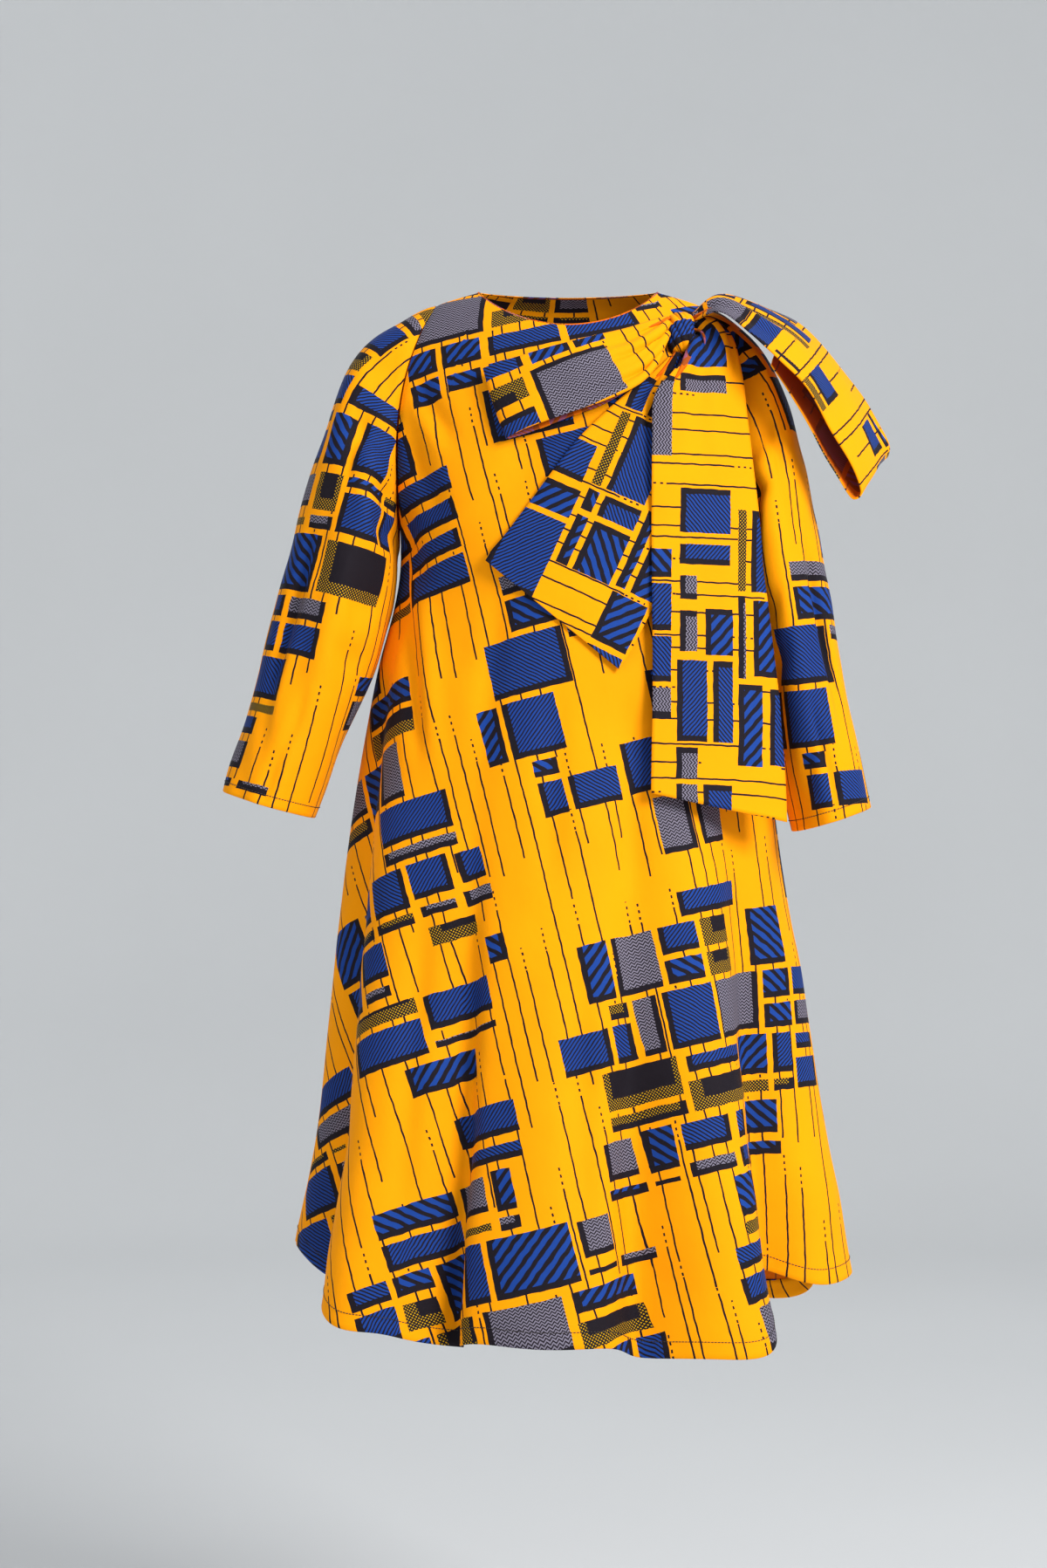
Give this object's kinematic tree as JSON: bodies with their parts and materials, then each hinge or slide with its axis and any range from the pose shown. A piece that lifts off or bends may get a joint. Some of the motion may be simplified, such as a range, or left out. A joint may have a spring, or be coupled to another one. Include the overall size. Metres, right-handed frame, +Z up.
{
  "type": "swing dress",
  "caption": "Knee-length swing dress in printed cotton, filled out as if worn, with three-quarter sleeves, a round neck and a tie bow on the left shoulder.",
  "frame": {"origin": "the middle of the shoulder line, level with the two points where shoulder meets neck", "axes": "+X towards the wearer's left, +Y towards the back, +Z up; the front faces -Y"},
  "size_m": [0.6249, 0.4446, 0.9799],
  "materials": {
    "printed_cotton": "plain-weave cotton with a wax print, amber with navy, royal blue, grey and olive; slightly smooth, matt"
  },
  "bodies": {
    "root": {"front_panel": "printed_cotton", "back_panel": "printed_cotton", "sleeve_right": "printed_cotton", "sleeve_left": "printed_cotton", "neck_facing": "printed_cotton", "bow_knot": "printed_cotton", "bow_loop_inner": "printed_cotton", "bow_loop_outer": "printed_cotton", "bow_tail_short": "printed_cotton", "bow_tail_long": "printed_cotton"}
  },
  "joints": []
}
